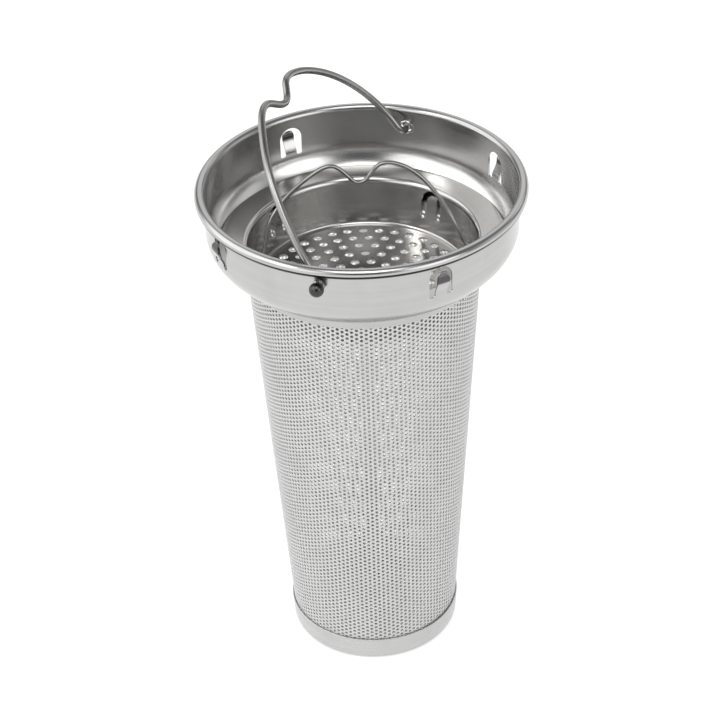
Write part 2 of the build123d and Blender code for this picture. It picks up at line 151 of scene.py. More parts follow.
def grid_faces(rows, cols, wrap_rows=False, wrap_cols=True, flip=False):
    """Quads over a grid of points stored row by row."""
    i, j = np.meshgrid(np.arange(rows if wrap_rows else rows - 1),
                       np.arange(cols if wrap_cols else cols - 1), indexing="ij")
    i2, j2 = (i + 1) % rows, (j + 1) % cols
    corners = [i * cols + j, i * cols + j2, i2 * cols + j2, i2 * cols + j]
    if flip:
        corners = [corners[k] for k in (0, 3, 2, 1)]
    return np.stack(corners, -1).reshape(-1, 4)


def end_faces(rows, cols, flip=False):
    """Faces closing the first and last rows of a grid wrapped across its columns."""
    first, last = list(range(cols)), list(range((rows - 1) * cols, rows * cols))
    return [first, last[::-1]] if flip else [first[::-1], last]


def discard(ob):
    mesh = ob.data
    bpy.data.objects.remove(ob)
    bpy.data.meshes.remove(mesh)


def smooth_by_angle(ob, degrees):
    bm = bmesh.new()
    bm.from_mesh(ob.data)
    limit = math.radians(degrees)
    for edge in bm.edges:
        edge.smooth = len(edge.link_faces) == 2 and edge.calc_face_angle(0.0) <= limit
    for face in bm.faces:
        face.smooth = True
    bm.to_mesh(ob.data)
    bm.free()


def face_outwards(ob, merge=None):
    """Make the normals consistent, first merging points closer than merge (metres)."""
    bm = bmesh.new()
    bm.from_mesh(ob.data)
    if merge:
        bmesh.ops.remove_doubles(bm, verts=bm.verts, dist=merge)
    bmesh.ops.recalc_face_normals(bm, faces=bm.faces)
    bm.to_mesh(ob.data)
    bm.free()


def cut(ob, cutters):
    """Subtract the cutters from ob and delete them."""
    for cutter in cutters:
        modifier = ob.modifiers.new("cut", "BOOLEAN")
        modifier.operation = "DIFFERENCE"
        modifier.solver = "EXACT"
        modifier.object = cutter
    bpy.context.view_layer.update()
    depsgraph = bpy.context.evaluated_depsgraph_get()
    mesh = bpy.data.meshes.new_from_object(ob.evaluated_get(depsgraph),
                                           preserve_all_data_layers=True, depsgraph=depsgraph)
    uncut = ob.data
    ob.modifiers.clear()
    ob.data = mesh
    bpy.data.meshes.remove(uncut)
    for cutter in cutters:
        discard(cutter)


def join(ob, others):
    """Append the meshes of the others to ob; all have the same origin."""
    bm = bmesh.new()
    bm.from_mesh(ob.data)
    for other in others:
        bm.from_mesh(other.data)
        discard(other)
    bm.to_mesh(ob.data)
    bm.free()


# ------------------------------------------------------------------ outlines
def arc(x, y, radius, start, end, count):
    angles = np.radians(np.linspace(start, end, count))
    return [(x + radius * math.cos(a), y + radius * math.sin(a)) for a in angles]


def circle(radius, sides, x=0.0, y=0.0):
    angles = np.linspace(0, 2 * math.pi, sides, endpoint=False)
    return [(x + radius * math.cos(a), y + radius * math.sin(a)) for a in angles]


def bezier(controls, steps=28):
    t = np.linspace(0, 1, steps + 1)[:, None]
    p = np.asarray(controls, float)
    return ((1 - t) ** 3 * p[0] + 3 * t * (1 - t) ** 2 * p[1]
            + 3 * t * t * (1 - t) * p[2] + t ** 3 * p[3]).tolist()


def offset_left(points, amount):
    """Path moved sideways, to the left of its direction."""
    moved = []
    for i, (x, y) in enumerate(points):
        x0, y0 = points[max(i - 1, 0)]
        x1, y1 = points[min(i + 1, len(points) - 1)]
        dx, dy = x1 - x0, y1 - y0
        length = math.hypot(dx, dy)
        moved.append((x - dy / length * amount, y + dx / length * amount))
    return moved


def fillet(before, corner, after, radius, steps):
    """Rounded corner of the path before-corner-after."""
    before, corner, after = (np.array(p, float) for p in (before, corner, after))
    back, ahead = before - corner, after - corner
    back_length, ahead_length = np.linalg.norm(back), np.linalg.norm(ahead)
    back, ahead = back / back_length, ahead / ahead_length
    half = math.acos(max(-1, min(1, float(back @ ahead)))) / 2
    setback = min(radius / math.tan(half), 0.48 * back_length, 0.48 * ahead_length)
    fitted = setback * math.tan(half)
    middle = back + ahead
    centre = corner + middle / np.linalg.norm(middle) * (fitted / math.sin(half))
    start, end = corner + back * setback - centre, corner + ahead * setback - centre
    start_angle = math.atan2(start[1], start[0])
    turn = math.atan2(end[1], end[0]) - start_angle
    turn = (turn + math.pi) % (2 * math.pi) - math.pi
    angles = [start_angle + turn * k / steps for k in range(steps + 1)]
    return [(centre[0] + fitted * math.cos(a), centre[1] + fitted * math.sin(a)) for a in angles]


def slot_outline():
    """Arch with straight legs, a round top and a round relief at the foot of each leg."""
    r = SLOT_W / 2
    outline = [(r, 0.0), (r, SLOT_H - r)]
    outline += [(r * math.cos(a), SLOT_H - r + r * math.sin(a))
                for a in np.linspace(0, math.pi, 20)[1:-1]]
    outline += [(-r, SLOT_H - r), (-r, 0.0)]
    leg = (SLOT_W - SLOT_BAND) / 2
    relief = SLOT_RELIEF / 2
    for x in (-leg, leg):
        outline += [(x + relief * math.cos(a), 0.1 + relief * math.sin(a))
                    for a in np.linspace(math.pi + 0.1, 2 * math.pi - 0.1, 12)]
    return outline


# ------------------------------------------------------------------ solids
def lathe(name, profile, segments, start=0.0):
    """Turn a closed profile of (radius, height) points round the axis."""
    profile = np.asarray(profile, float)
    angles = np.radians(start) + np.linspace(0, 2 * math.pi, segments, endpoint=False)
    points = np.empty((segments, len(profile), 3))
    points[:, :, 0] = profile[None, :, 0] * np.cos(angles)[:, None]
    points[:, :, 1] = profile[None, :, 0] * np.sin(angles)[:, None]
    points[:, :, 2] = profile[None, :, 1]
    faces = grid_faces(segments, len(profile), wrap_rows=True)
    return make_object(name, points.reshape(-1, 3), faces)


def wall_cutter(azimuth, radius, level, outline, reach, offset=0.0):
    """Prism through a wall, its outline in (round the wall, up), reaching in and out by reach.
    A positive offset moves its line sideways, to the right seen outwards along the azimuth."""
    outward, around = directions(azimuth)
    origin = outward * radius - around * offset + np.array([0, 0, height(level)])
    outline = np.asarray(outline, float)
    count = len(outline)
    flat = origin + outline[:, :1] * around + outline[:, 1:] * np.array([0, 0, 1.0])
    points = np.vstack([flat - outward * reach, flat + outward * reach])
    faces = end_faces(2, count) + grid_faces(2, count).tolist()
    return make_object("cutter", points, faces, False)


def slot_cutters(azimuth, radius, level, reach):
    return [wall_cutter(azimuth + 90 * k, radius, level, slot_outline(), reach)
            for k in range(4)]


def stand_off(share, out, bulged):
    """How far a tongue stands out at a share of its height."""
    if not bulged:
        return out * share * share
    peak = 0.72
    if share < peak:
        return out * math.sin(math.pi / 2 * max(share, 0.0) / peak) ** 2
    return out * (1 - 0.42 * ((share - peak) / (1 - peak)) ** 2)


def tongue(azimuth, inner_r, level, out, wall_slope=0.0, bulged=False):
    """Strip between the legs of a slot, bent outwards towards its free, round top."""
    length = SLOT_H - SLOT_BAND
    half = SLOT_W / 2 - SLOT_BAND
    straight = length - half
    root = 0.05                     # overlap with the wall below the slot
    rows, cols = 31, 15
    stations = []                   # height above the slot's foot, half width
    for i in range(rows):
        v = -root + (length + root) * math.sin(math.pi / 2 * i / (rows - 1)) ** 0.9
        width = half
        if v > straight:
            width = math.sqrt(max(half * half - (v - straight) ** 2, 0.0))
        stations.append((v, max(width, 0.02)))

    step = 0.002                    # share of the height used to measure the lean
    points = []
    for layer in (0, 1):
        for v, width in stations:
            share = max(v, 0) / length
            inside = share > step
            rise = (stand_off(share + step, out, bulged)
                    - stand_off(share - step if inside else 0, out, bulged))
            lean = rise / ((2 if inside else 1) * step * length) + wall_slope
            thick = SHEET / math.hypot(1, lean) * layer
            radius = inner_r + wall_slope * v + stand_off(share, out, bulged) + thick
            for k in range(cols):
                x = width * math.sin(math.pi / 2 * (-1 + 2 * k / (cols - 1)))
                a = math.radians(azimuth) + x / inner_r
                points.append((radius * math.cos(a), radius * math.sin(a),
                               height(level) + v - lean * thick))

    base = rows * cols
    inner = grid_faces(rows, cols, wrap_cols=False, flip=True)
    outer = grid_faces(rows, cols, wrap_cols=False) + base
    faces = np.stack([inner, outer], 1).reshape(-1, 4).tolist()
    edge = [i * cols for i in range(rows)]
    edge += [(rows - 1) * cols + k for k in range(1, cols)]
    edge += [i * cols + cols - 1 for i in range(rows - 2, -1, -1)]
    edge += list(range(cols - 2, 0, -1))
    for a, b in zip(edge, edge[1:] + edge[:1]):
        faces.append((a, base + a, base + b, b))
    return make_object("tongue", points, faces)


def plate_with_holes(radius, bottom, top, holes, hole_r, hole_sides, rim_sides):
    """Flat disc between two heights with round holes centred on the given points."""
    outline = circle(radius, rim_sides)
    edges = [(i, (i + 1) % rim_sides) for i in range(rim_sides)]
    for x, y in holes:
        start = len(outline)
        outline += circle(hole_r, hole_sides, x, y)
        edges += [(start + i, start + (i + 1) % hole_sides) for i in range(hole_sides)]
    result = delaunay_2d_cdt([Vector(p) for p in outline], edges, [], 0, 1e-7)
    flat = np.array([tuple(v) for v in result[0]])

    # leave out the triangles that fill a hole or lie outside the disc
    centres = np.array(holes)
    kept = []
    for face in result[2]:
        middle = flat[list(face)].mean(0)
        distances = np.hypot(centres[:, 0] - middle[0], centres[:, 1] - middle[1])
        nearest = int(np.argmin(distances))
        if distances[nearest] < hole_r * 0.985:
            reach = np.hypot(*(flat[list(face)] - centres[nearest]).T)
            if (reach < hole_r * 1.02).all():
                continue
        if np.hypot(*middle) <= radius:
            kept.append(tuple(face))

    count = len(flat)
    points = np.vstack([np.column_stack([flat, np.full(count, z)]) for z in (bottom, top)])
    faces = []
    for face in kept:
        a, b, c = (flat[i] for i in face[:3])
        anticlockwise = (b[0] - a[0]) * (c[1] - a[1]) - (b[1] - a[1]) * (c[0] - a[0]) > 0
        upward = face if anticlockwise else face[::-1]
        faces.append(upward[::-1])
        faces.append(tuple(i + count for i in upward))

    # an edge used by one triangle only gets a wall
    uses = {}
    for face in kept:
        for k in range(3):
            edge = (face[k], face[(k + 1) % 3])
            uses.setdefault((min(edge), max(edge)), []).append(edge)
    for found in uses.values():
        if len(found) == 1:
            a, b = found[0]
            faces.append((a, b, b + count, a + count))
    ob = make_object("plate", points, faces, False)
    face_outwards(ob)
    return ob


# ------------------------------------------------------------------ shader nodes
class Nodes:
    """Adds nodes to one emptied node tree. An input may be given as a value or as a socket."""

    def __init__(self, owner):
        owner.use_nodes = True
        self.tree = owner.node_tree
        self.tree.nodes.clear()

    def add(self, kind, inputs=None, **settings):
        node = self.tree.nodes.new("ShaderNode" + kind)
        for key, value in settings.items():
            setattr(node, key, value)
        for key, value in (inputs or {}).items():
            if isinstance(value, bpy.types.NodeSocket):
                self.tree.links.new(value, node.inputs[key])
            else:
                node.inputs[key].default_value = value
        return node

    def math(self, operation, first, second=None, clamp=False):
        inputs = {0: first}
        if second is not None:
            inputs[1] = second
        return self.add("Math", inputs, operation=operation, use_clamp=clamp).outputs[0]

    def smoothstep(self, value, start, end, at_start, at_end):
        return self.add("MapRange", {
            "Value": value, "From Min": start, "From Max": end,
            "To Min": at_start, "To Max": at_end}, interpolation_type="SMOOTHSTEP").outputs[0]

    def dot(self, vector, direction):
        return self.add("VectorMath", {0: vector, 1: direction},
                        operation="DOT_PRODUCT").outputs["Value"]

    def noise(self, vector, scale, detail, roughness, distortion=0.0):
        return self.add("TexNoise", {
            "Vector": vector, "Scale": scale, "Detail": detail,
            "Roughness": roughness, "Distortion": distortion}).outputs["Fac"]

    def mix(self, factor, first, second, blend="MIX"):
        return self.add("Mix", {"Factor": factor, "A": first, "B": second},
                        data_type="RGBA", blend_type=blend).outputs["Result"]

    def ramp(self, factor, low, high, low_grey=0.0):
        node = self.add("ValToRGB", {0: factor})
        dark, light = node.color_ramp.elements
        dark.position, light.position = low, high
        dark.color = (low_grey, low_grey, low_grey, 1)
        return node.outputs[0]


# how the coordinates are stretched along the grain: (angle, height, radius) for turned and
# drawn sheet, (tilt out of the arch's plane, y, height) for wire
GRAIN_STRETCH = {"ring": (0.6, 900.0, 900.0), "up": (60.0, 18.0, 20.0), "wire": (5.5, 45.0, 45.0)}


def radius_zone(start, end):
    return "radius", start * MM, end * MM


def level_zone(start, end):
    return "level", height(start) * MM, height(end) * MM


# mask of the zones where light and shade are painted into a colour
def painted_light_mask(nodes, zones, position, radius):
    """Product of the zones, each fading in from its first value to its second.
    "normal_z" reads the normal's z and "inside" how far it turns towards the axis."""
    x, y, z = position
    mask = None
    for kind, start, end in zones:
        if kind == "radius":
            source = radius
        elif kind == "level":
            source = z
        else:
            normal = nodes.add("NewGeometry").outputs["Normal"]
            normal_x, normal_y, source = nodes.add("SeparateXYZ", {0: normal}).outputs
            if kind == "inside":
                outward = nodes.math("ADD", nodes.math("MULTIPLY", normal_x, x),
                                     nodes.math("MULTIPLY", normal_y, y))
                source = nodes.math("DIVIDE", outward, nodes.math("MULTIPLY", radius, -1.0))
        if start > end:
            zone = nodes.smoothstep(source, end, start, 1.0, 0.0)
        else:
            zone = nodes.smoothstep(source, start, end, 0.0, 1.0)
        mask = zone if mask is None else nodes.math("MULTIPLY", mask, zone)
    return mask


def steel(name, color, rough, rough_var, brush, brush_amount, scratch, wave, smudge=0.0,
          painted_light_zones=(), bail=None, streak_grey=0.82, streak_share=0.35):
    """Stainless steel with grain, fine scratches, slow waviness and smudges.
    brush: "ring" for grain round the axis, "up" for grain up the sheet, "wire" for grain along
    a wire, with bail its pivot azimuth and lean.
    shade: (zones, colour) pairs of painted light and shade; the colour replaces the steel's where
    all the zones overlap.
    streak_grey, streak_share: darkest grain and how strongly it shows."""
    mat = bpy.data.materials.new(name)
    nodes = Nodes(mat)
    coords = nodes.add("TexCoord")
    place = coords.outputs["Object"]
    x, y, z = position = tuple(nodes.add("SeparateXYZ", {0: place}).outputs)
    radius = None
    if painted_light_zones or brush != "wire":
        radius = nodes.math("SQRT", nodes.math("ADD", nodes.math("MULTIPLY", x, x),
                                               nodes.math("MULTIPLY", y, y)))

    if brush == "wire":
        # the tilt out of the arch's plane is constant along a wire, so streaks run its length
        azimuth, lean = map(math.radians, bail)
        along = Vector((math.cos(azimuth), math.sin(azimuth), 0))
        around = Vector((-math.sin(azimuth), math.cos(azimuth), 0))
        arch_up = Vector((0, 0, 1)) * math.cos(lean) + around * math.sin(lean)
        sources = (nodes.dot(coords.outputs["Normal"], along.cross(arch_up)), y, z)
    else:
        sources = (nodes.math("ARCTAN2", y, x), z, radius)
    stretched = nodes.add("CombineXYZ", {
        k: nodes.math("MULTIPLY", source, factor)
        for k, (source, factor) in enumerate(zip(sources, GRAIN_STRETCH[brush]))}).outputs[0]

    grain = nodes.noise(stretched, scale=1.0, detail=5.0, roughness=0.6)
    waviness = nodes.noise(place, scale=40.0, detail=2.0, roughness=0.5)
    spots = nodes.noise(place, scale=220.0, detail=6.0, roughness=0.62)
    patches = nodes.noise(place, scale=55.0, detail=3.0, roughness=0.6, distortion=0.6)

    # thin lines along one skew direction
    skewed = nodes.add("Mapping", {"Vector": place, "Rotation": (0.4, 0.9, 0.7),
                                   "Scale": (900.0, 60.0, 90.0)}).outputs[0]
    scratches = nodes.noise(skewed, scale=1.0, detail=2.0, roughness=0.5, distortion=0.3)
    scratches = nodes.ramp(scratches, low=0.66, high=0.72)

    roughness = rough
    for pattern, amount in ((spots, rough_var), (patches, rough_var * 1.2), (grain, brush_amount)):
        change = nodes.math("MULTIPLY", nodes.math("SUBTRACT", pattern, 0.5), amount)
        roughness = nodes.math("ADD", roughness, change)
    roughness = nodes.math("MAXIMUM", roughness, 0.04)

    # colour: darker smudges, then streaks of grain, then the zones of painted light and shade
    smudges = nodes.math("MULTIPLY", nodes.math("SUBTRACT", patches, 0.42, clamp=True),
                         1.5 + smudge * 4, clamp=True)
    colour = nodes.mix(smudges, (*color, 1), (*(c * 0.86 for c in color), 1))
    streaks = nodes.ramp(grain, low=0.3, high=0.7, low_grey=streak_grey)
    colour = nodes.mix(streak_share, colour, streaks, blend="MULTIPLY")
    # paint the zones of light and shade over the colour
    for zones, dark in painted_light_zones:
        colour = nodes.mix(painted_light_mask(nodes, zones, position, radius), colour, (*dark, 1))

    relief = nodes.math("MULTIPLY", grain, brush_amount * 0.6 + 0.05)
    relief = nodes.math("ADD", relief, nodes.math("MULTIPLY", waviness, wave * 40))
    relief = nodes.math("ADD", relief, nodes.math("MULTIPLY", spots, 0.05))
    relief = nodes.math("SUBTRACT", relief, nodes.math("MULTIPLY", scratches, scratch))
    bump = nodes.add("Bump", {"Strength": 0.5, "Distance": 0.00004, "Height": relief})

    surface = nodes.add("BsdfPrincipled", {
        "Metallic": 1.0, "Base Color": colour, "Roughness": roughness, "Normal": bump.outputs[0]})
    nodes.add("OutputMaterial", {0: surface.outputs[0]})
    return mat


# ------------------------------------------------------------------ materials
# zones of painted light and painted shade in the steel's colour
# painted shade: a black line on the underside of the curl, standing in for its dark reflection
CURL_UNDERSIDE_PAINTED_SHADE = ([radius_zone(45.05, 45.25), ("normal_z", -0.03, -0.13), level_zone(-4.0, -3.6)],
           (0.02, 0.02, 0.02))
# painted shade: the upper part of the collar's tongues darkened, standing in for their dark
# reflection
TONGUE_TOP_PAINTED_SHADE = ([radius_zone(44.15, 44.5), level_zone(-8.6, -7.8), level_zone(-4.6, -5.2)],
              (0.10, 0.10, 0.10))
# painted highlight: the inside of the shoulder made lighter, standing in for its bright
# reflections
SHOULDER_INSIDE_PAINTED_HIGHLIGHT = ([("inside", 0.0, 0.25), level_zone(-12.6, -14.2), level_zone(-21.0, -19.0)],
                   (0.74, 0.735, 0.73))
# painted light: the tube's inside and half of its hole walls made lighter, standing in for light
# coming in through the holes
TUBE_INSIDE_PAINTED_LIGHT = ([("inside", -0.7, 0.3)], (0.88, 0.88, 0.88))
# painted shade: the inside of the cap's wall darkened
CAP_INSIDE_PAINTED_SHADE = ([("inside", 0.0, 0.3)], (0.25, 0.25, 0.25))
# painted shade: the cap's holed floor darkened, standing in for the shade in the tube's foot
CAP_FIELD_PAINTED_SHADE = ([radius_zone(24.0, 23.0)], (0.22, 0.22, 0.22))
# painted shade: the bail's ball heads and ends darkened, standing in for their dark reflection
WIRE_ENDS_PAINTED_SHADE = ([radius_zone(43.4, 44.4)], (0.07, 0.068, 0.065))
# painted shade: the basket's floor darkened, standing in for its dark reflection
CUP_FLOOR_PAINTED_SHADE = ([radius_zone(29.6, 28.6), level_zone(-31.2, -31.7)], (0.33, 0.325, 0.315))

COLLAR_STEEL = steel(
    "collar_satin", color=(0.52, 0.517, 0.513), rough=0.22, rough_var=0.04, brush="ring",
    brush_amount=0.10, scratch=0.12, wave=0.004, smudge=0.01,
    painted_light_zones=[CURL_UNDERSIDE_PAINTED_SHADE, TONGUE_TOP_PAINTED_SHADE, SHOULDER_INSIDE_PAINTED_HIGHLIGHT])
MESH_STEEL = steel(
    "mesh_punched", color=(0.62, 0.62, 0.615), rough=0.38, rough_var=0.06, brush="up",
    brush_amount=0.05, scratch=0.08, wave=0.01, painted_light_zones=[TUBE_INSIDE_PAINTED_LIGHT])
CAP_STEEL = steel(
    "cap_satin", color=(0.54, 0.54, 0.535), rough=0.28, rough_var=0.06, brush="ring",
    brush_amount=0.10, scratch=0.15, wave=0.01, painted_light_zones=[CAP_INSIDE_PAINTED_SHADE, CAP_FIELD_PAINTED_SHADE])
OUTER_WIRE = steel(
    "wire_drawn", color=(0.42, 0.415, 0.405), rough=0.27, rough_var=0.08, brush="wire",
    brush_amount=0.10, scratch=0.3, wave=0.01, painted_light_zones=[WIRE_ENDS_PAINTED_SHADE], bail=(PIVOT_AZ, BAIL_LEAN),
    streak_grey=0.42, streak_share=0.8)
BASKET_STEEL = steel(
    "basket_bright", color=(0.56, 0.55, 0.535), rough=0.20, rough_var=0.06, brush="ring",
    brush_amount=0.05, scratch=0.12, wave=0.01, smudge=0.03, painted_light_zones=[CUP_FLOOR_PAINTED_SHADE])
INNER_WIRE = steel(
    "inner_wire_bright", color=(0.42, 0.415, 0.405), rough=0.24, rough_var=0.08, brush="wire",
    brush_amount=0.08, scratch=0.2, wave=0.01, bail=(IN_AZ, IN_BAIL_LEAN),
    streak_grey=0.4, streak_share=0.8)


# ------------------------------------------------------------------ collar
CURL_END = -115                     # angle of the curl's free edge round its section


def collar_profile():
    """Curled rim, straight wall with a groove, curved shoulder and the neck round the tube."""
    centre = (RIM_R - ROLL_R, height(-ROLL_R))
    curl_inside = arc(*centre, ROLL_R - SHEET, 180, CURL_END, 40)
    edge_in = curl_inside[-1]
    edge_out = arc(*centre, ROLL_R, CURL_END, CURL_END, 1)[0]
    curl_outside = arc(*centre, ROLL_R, -108, 180, 48)
    profile = curl_inside
    profile += fillet(curl_inside[-2], edge_in, edge_out, radius=0.1, steps=3)[1:]
    profile += fillet(edge_in, edge_out, curl_outside[0], radius=0.1, steps=3)
    profile += curl_outside
    profile += [(WALL_RI, height(z)) for z in np.linspace(-2.2, WALL_END + 0.6, 10)]

    shoulder = bezier([(WALL_RO, height(WALL_END)), (WALL_RO, height(-16.4)),
                       (40.4, height(-20.4)), (34.5, height(-23.0))])
    inside = offset_left(shoulder, -SHEET)
    inside[0] = (WALL_RI, height(WALL_END))
    profile += inside

    bottom_r = tube_radius(NECK_Z1) + LAP
    top_in = (tube_radius(-23.55) + LAP, height(-23.55))
    bottom_in = (bottom_r, height(NECK_Z1))
    bottom_out = (bottom_r + SHEET, height(NECK_Z1))
    top_out = (tube_radius(NECK_Z0) + LAP + SHEET, height(NECK_Z0))
    profile += fillet(inside[-1], top_in, bottom_in, radius=0.4, steps=4)
    profile += fillet(top_in, bottom_in, bottom_out, radius=0.08, steps=2)
    profile += fillet(bottom_in, bottom_out, top_out, radius=0.12, steps=3)
    profile += fillet(bottom_out, top_out, shoulder[-1], radius=0.9, steps=8)
    profile += shoulder[::-1][1:]

    wall_below = (-11.0, -9.5, -8.0, -6.5, GROOVE_Z - GROOVE_HALF)
    profile += [(WALL_RO, height(z)) for z in wall_below]
    # groove: share of its depth, share of its half width
    for depth, side in ((0.6, -0.45), (1.0, 0.0), (0.6, 0.45), (0.0, 1.0)):
        profile.append((WALL_RO - GROOVE_DEPTH * depth, height(GROOVE_Z + GROOVE_HALF * side)))
    profile += [(WALL_RO, height(z)) for z in (-3.9, -3.3, -2.6, -2.0)]
    return profile


def pivot_lip(side):
    """Raised lip of a pivot hole on the inside of the wall; side is 1 at the back, -1 in front."""
    outward, around = directions(PIVOT_AZ)
    outward = outward * side
    hole, edge = PIVOT_HOLE / 2, EYELET_OD / 2
    # radius round the hole, height off the wall
    section = [(hole, -0.3), (hole, EYELET_H - 0.15), (hole + 0.1, EYELET_H - 0.04),
               (hole + 0.22, EYELET_H), (hole + 0.36, EYELET_H - 0.05),
               (edge - 0.12, EYELET_H - 0.24), (edge + 0.1, 0.02), (edge + 0.1, -0.3)]
    segments = 48
    points = []
    for i in range(segments):
        a = 2 * math.pi * i / segments
        for radius, raised in section:
            x, y = radius * math.cos(a) - PIVOT_OFF, radius * math.sin(a)
            wall = math.sqrt(WALL_RI ** 2 - x * x)
            points.append(outward * (wall - raised) + around * x
                          + np.array([0, 0, height(PIVOT_Z) + y]))
    faces = grid_faces(segments, len(section), wrap_rows=True, flip=side > 0)
    return make_object("lip", points, faces)


def build_collar():
    ob = lathe("collar_body", collar_profile(), 480, 0.375)
    wall_middle = WALL_RI + SHEET / 2
    cutters = slot_cutters(COLLAR_TAB_AZ, wall_middle, COLLAR_TAB_Z, reach=2.6)
    for side in (1, -1):
        cutters.append(wall_cutter(PIVOT_AZ, side * wall_middle, PIVOT_Z,
                                   circle(PIVOT_HOLE / 2, 40), reach=2.5, offset=PIVOT_OFF))
    cut(ob, cutters)
    tongues = [tongue(COLLAR_TAB_AZ + 90 * k, WALL_RI, COLLAR_TAB_Z, COLLAR_TAB_OUT, bulged=True)
               for k in range(4)]
    join(ob, tongues + [pivot_lip(side) for side in (1, -1)])
    smooth_by_angle(ob, 38)
    return ob


collar = build_collar()

# ------------------------------------------------------------------ perforated tube
CONE_ANGLE = math.atan(TUBE_SLOPE)
CONE_COS, CONE_SIN = math.cos(CONE_ANGLE), math.sin(CONE_ANGLE)
APEX_Z = NECK_Z1 - TUBE_R_NECK / TUBE_SLOPE
SHEET_HALF_ANGLE = math.pi * CONE_SIN       # half the fan the tube unrolls to
SEAM_CLEAR = 1.35                           # unpunched strip on each side of the joint

RING_SIDES = 12
# rings of a punched hole from the outside in: share of its radius, depth
HOLE_RINGS = [(1.06, 0.0), (1.0, 0.04), (1.0, SHEET)]
# the hexagon of sheet round each hole of the staggered lattice
HEX_TIP = (COL_GAP * COL_GAP + ROW_GAP * ROW_GAP / 4) / (2 * COL_GAP)
HEX_SHOULDER = COL_GAP - HEX_TIP
HEX_CORNERS = np.array([
    (HEX_TIP, 0), (HEX_SHOULDER, ROW_GAP / 2), (-HEX_SHOULDER, ROW_GAP / 2),
    (-HEX_TIP, 0), (-HEX_SHOULDER, -ROW_GAP / 2), (HEX_SHOULDER, -ROW_GAP / 2)])


def roll_up(across, up, depth):
    """Flat sheet, measured from the cone's apex with its middle line at the front, to the tube."""
    slant = np.hypot(across, up)
    angle = -math.pi / 2 + np.arctan2(across, up) / CONE_SIN
    radius = slant * CONE_SIN - depth * CONE_COS
    z = APEX_Z + slant * CONE_COS + depth * CONE_SIN
    return np.stack([radius * np.cos(angle), radius * np.sin(angle), height(z)], -1)


def hole_centres():
    """Centres of the holes on the flat sheet, from the top of the tube down."""
    high = (TUBE_Z0 - 1.4 - APEX_Z) / CONE_COS
    low = (TUBE_Z1 + 1.6 - APEX_Z) / CONE_COS
    # a lattice somewhat larger than the sheet
    half_cols = int((high * math.sin(SHEET_HALF_ANGLE) + 5) / COL_GAP) + 12
    half_rows = int((high - low + 30) / ROW_GAP) + 12
    i, j = np.meshgrid(np.arange(-half_cols, half_cols + 1),
                       np.arange(-half_rows, half_rows + 1), indexing="ij")
    across = i * COL_GAP
    up = (j + 0.5 * (i % 2)) * ROW_GAP + (high + low) / 2
    slant, angle = np.hypot(across, up), np.arctan2(across, up)
    keep = (slant > low) & (slant < high)
    keep &= np.abs(angle) < SHEET_HALF_ANGLE - SEAM_CLEAR / slant
    order = np.argsort(-slant[keep], kind="stable")
    return across[keep][order], up[keep][order]


def punched_sheet(name, across, up):
    """Rolled sheet made of one hexagonal cell round each hole centre."""
    count = len(across)
    corners = np.stack([across[:, None] + HEX_CORNERS[None, :, 0],
                        up[:, None] + HEX_CORNERS[None, :, 1]], -1).reshape(-1, 2)
    # neighbouring cells share their corners
    key = np.round(corners * 200).astype(np.int64)
    key = key[:, 0] * 10000019 + key[:, 1]
    _, first, inverse = np.unique(key, return_index=True, return_inverse=True)
    corner_id = inverse.reshape(count, 6)
    corners = corners[first]
    corner_count = len(corners)
    points = [roll_up(corners[:, 0], corners[:, 1], depth) for depth in (0.0, SHEET)]

    angles = np.arange(RING_SIDES) * 2 * math.pi / RING_SIDES
    ring = np.stack([np.cos(angles), np.sin(angles)], -1) * FINE_HOLE / 2
    for share, depth in HOLE_RINGS:
        points.append(roll_up((across[:, None] + ring[None, :, 0] * share).ravel(),
                              (up[:, None] + ring[None, :, 1] * share).ravel(), depth))
    points = np.vstack(points)
    ring_start = [2 * corner_count + k * count * RING_SIDES for k in range(len(HOLE_RINGS))]
    ring_id = np.arange(count * RING_SIDES).reshape(count, RING_SIDES)

    # the ring point nearest in direction to each corner of the hexagon
    nearest = [int(round(math.atan2(y, x) % (2 * math.pi) / (2 * math.pi / RING_SIDES)))
               % RING_SIDES for x, y in HEX_CORNERS]
    triangles = []
    for k in range(6):
        k2 = (k + 1) % 6
        steps = (nearest[k2] - nearest[k]) % RING_SIDES
        half = steps // 2
        for inner, corner_at, ring_at in ((False, 0, ring_start[0]),
                                          (True, corner_count, ring_start[2])):
            corner, corner2 = corner_id[:, k] + corner_at, corner_id[:, k2] + corner_at
            rim = [ring_id[:, (nearest[k] + s) % RING_SIDES] + ring_at for s in range(steps + 1)]
            fan = [(corner if s < half else corner2, rim[s + 1], rim[s]) for s in range(steps)]
            fan.append((corner, corner2, rim[half]))
            triangles += [np.stack((p, r, q) if inner else (p, q, r), -1) for p, q, r in fan]
    for upper, lower in zip(ring_start, ring_start[1:]):
        for s in range(RING_SIDES):
            u, v = ring_id[:, s], ring_id[:, (s + 1) % RING_SIDES]
            triangles.append(np.stack([u + upper, v + upper, v + lower], -1))
            triangles.append(np.stack([u + upper, v + lower, u + lower], -1))
    ob = make_object(name, points, np.vstack(triangles))

    hole_of = np.tile(np.repeat(np.arange(count), RING_SIDES), len(HOLE_RINGS))
    hole_of = np.concatenate([np.full(2 * corner_count, -1), hole_of])
    shade_punched_sheet(ob.data, points, hole_of, roll_up(across, up, 0.0))
    return ob


